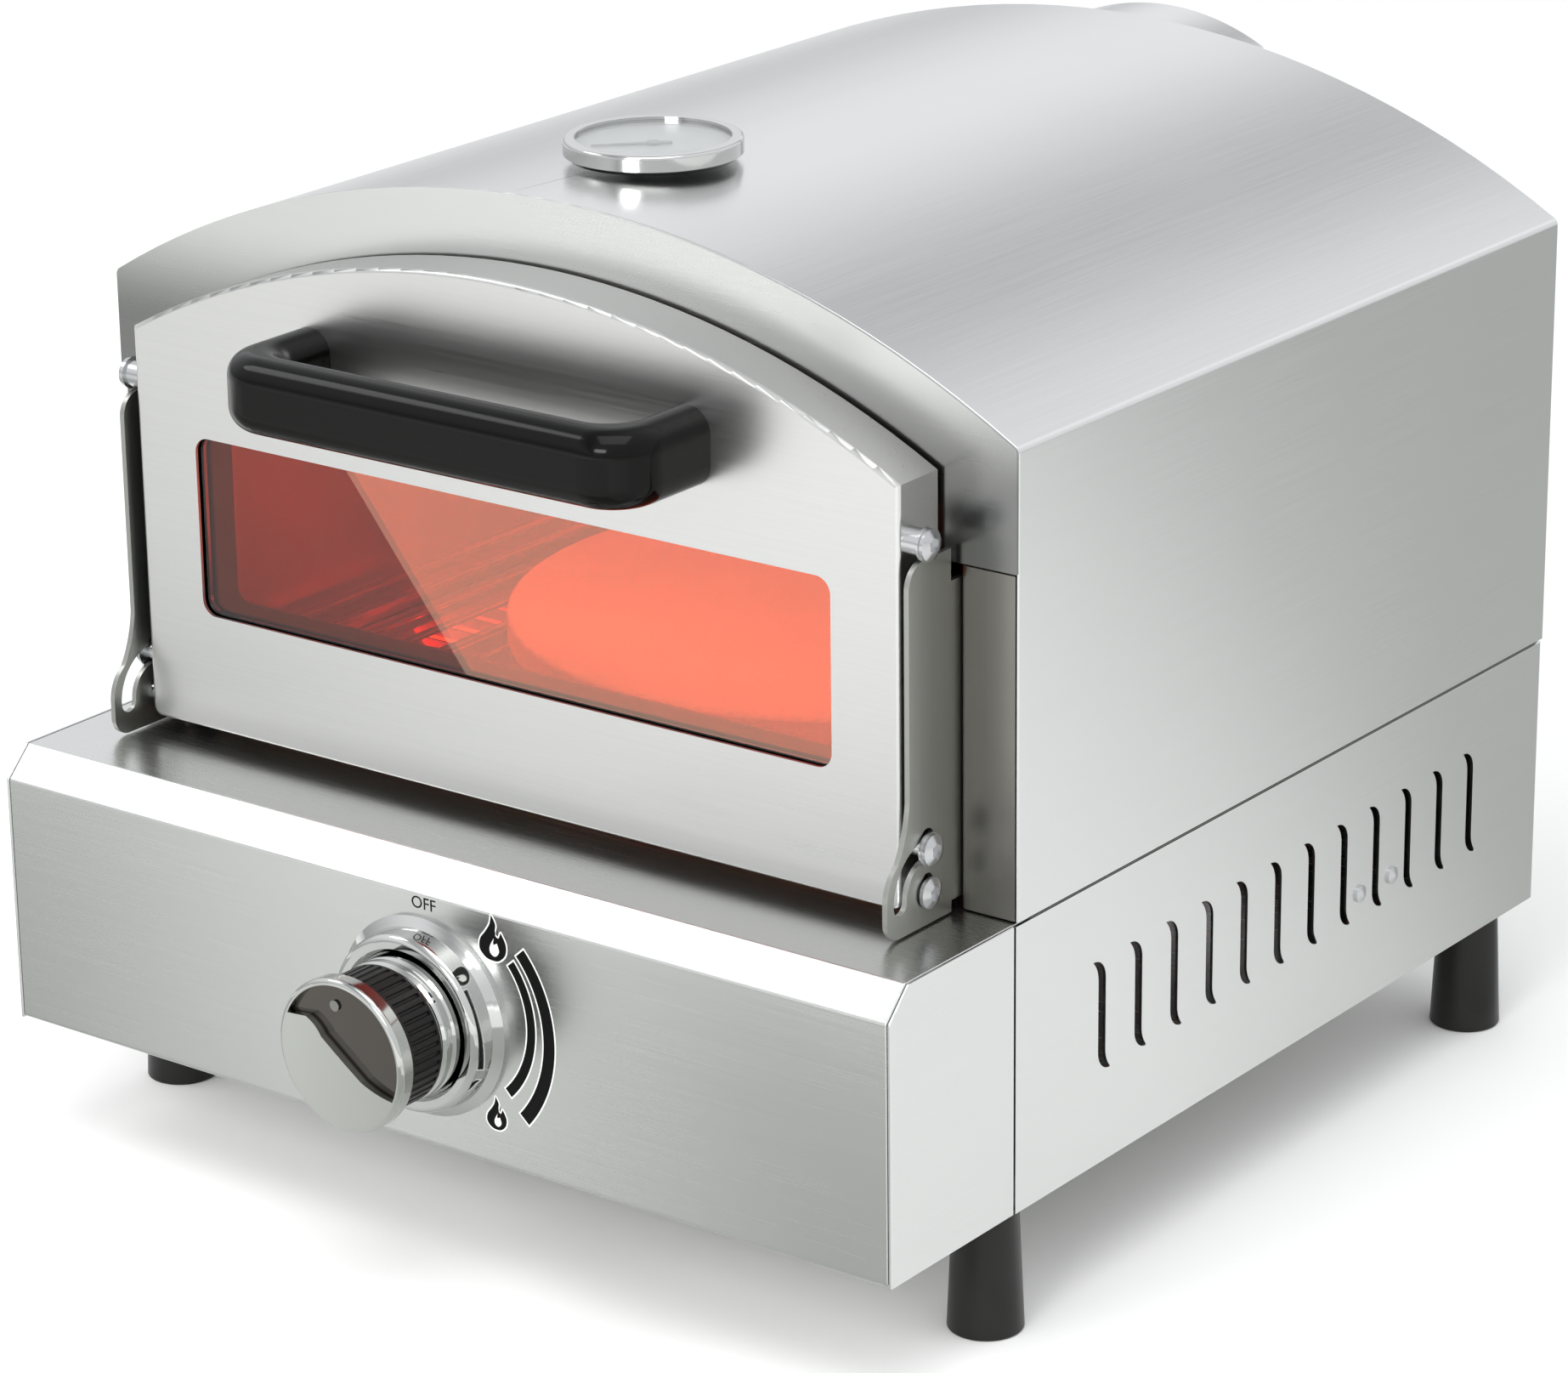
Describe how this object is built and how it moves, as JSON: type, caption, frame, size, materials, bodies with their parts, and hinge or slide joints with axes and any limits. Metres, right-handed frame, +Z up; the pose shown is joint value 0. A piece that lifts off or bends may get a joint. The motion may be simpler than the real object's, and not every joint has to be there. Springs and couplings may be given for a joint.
{
  "type": "countertop pizza oven",
  "caption": "Countertop gas pizza oven: arched steel hood, drop-down window door, front control box with knob, dial thermometer, rear flue cowl and tapered feet.",
  "frame": {"origin": "on the table, under the middle of the oven's overall length and width", "axes": "+Z up, front (door and knob) towards -Y, +X to the right seen from the front"},
  "size_m": [0.404, 0.513, 0.3813],
  "materials": {
    "casing": "brushed stainless steel",
    "door_steel": "finely brushed stainless steel",
    "bracket_steel": "satin stainless steel",
    "chamber_steel": "satin, heat dulled",
    "rack_chrome": "bright wire",
    "stone": "rough cordierite stone",
    "cast_metal": "as cast",
    "brass": "machined",
    "ceramic": "glazed white ceramic",
    "lead_cover": "silicone sleeve",
    "pipe": "drawn tube",
    "screw_steel": "bright zinc",
    "knob_chrome": "satin chrome",
    "knob_black": "black ribbed grip",
    "handle_black": "gloss black",
    "window_glass": "heat-tinted tempered glass",
    "lens_glass": "clear",
    "foot_rubber": "black, satin",
    "dial": "pale grey face",
    "pointer": "black needle"
  },
  "bodies": {
    "oven": {"base_pan": "casing", "base_shell": "casing", "control_panel": "casing", "control_end_left": "casing", "control_end_right": "casing", "burner_deck": "casing", "hood_shell": "casing", "front_frame": "casing", "hood_back": "casing", "flue_visor": "casing", "pillar_left": "casing", "pillar_right": "casing", "chamber_liner": "chamber_steel", "chamber_back": "chamber_steel", "chamber_floor": "chamber_steel", "flue_duct": "chamber_steel", "flame_guard": "chamber_steel", "rack_rail_left": "chamber_steel", "rack_rail_right": "chamber_steel", "wire_rack": "rack_chrome", "burner_tube": "chamber_steel", "gas_mixer": "cast_metal", "gas_jet": "brass", "igniter_ceramic": "ceramic", "igniter_pin": "screw_steel", "igniter_lead": "lead_cover", "supply_pipe": "pipe", "burner_pipe": "pipe", "gas_inlet": "brass", "gas_valve": "brass", "knob_bezel": "knob_chrome", "bracket_left": "bracket_steel", "bracket_right": "bracket_steel", "clamp_screws": "screw_steel", "foot_front_left": "foot_rubber", "foot_front_right": "foot_rubber", "foot_back_left": "foot_rubber", "foot_back_right": "foot_rubber", "foot_screws": "screw_steel", "thermometer_case": "knob_chrome", "thermometer_dial": "dial", "thermometer_lens": "lens_glass", "thermometer_probe": "screw_steel", "thermometer_nut": "screw_steel"},
    "door_pins": {"pivot_screws": "screw_steel"},
    "door": {"door_outer": "door_steel", "door_inner": "chamber_steel", "door_glass": "window_glass", "glass_retainer": "screw_steel", "door_handle": "handle_black", "handle_screws": "screw_steel", "door_posts": "screw_steel", "guide_screws": "screw_steel"},
    "valve_collar": {"push_collar": "screw_steel"},
    "knob": {"valve_stem": "brass", "knob_grip": "knob_black", "knob_cap": "knob_chrome", "knob_skirt": "knob_chrome"},
    "stone": {"pizza_stone": "stone"},
    "pointer": {"thermometer_pointer": "pointer"}
  },
  "joints": [
    {"name": "door_lift", "type": "slide", "parent": "oven", "child": "door_pins", "axis": [0, 0, 1], "range_m": [0, 0.0035]},
    {"name": "door_hinge", "type": "hinge", "parent": "door_pins", "child": "door", "pos_m": [0, -0.1555, 0.1635], "axis": [1, 0, 0], "range_deg": [0, 90]},
    {"name": "knob_push", "type": "slide", "parent": "oven", "child": "valve_collar", "axis": [0, 1, 0], "range_m": [0, 0.004], "stiffness_N_per_m": 1200, "springref_m": -0.002},
    {"name": "knob_turn", "type": "hinge", "parent": "valve_collar", "child": "knob", "pos_m": [0, -0.2105, 0.095], "axis": [0, 1, 0], "range_deg": [0, 126]},
    {"name": "stone_lift", "type": "slide", "parent": "oven", "child": "stone", "axis": [0, 0, 1], "range_m": [0, 0.03]},
    {"name": "pointer_turn", "type": "hinge", "parent": "oven", "child": "pointer", "pos_m": [0, -0.0725, 0.375], "axis": [0, 0, -1], "range_deg": [0, 270]}
  ]
}
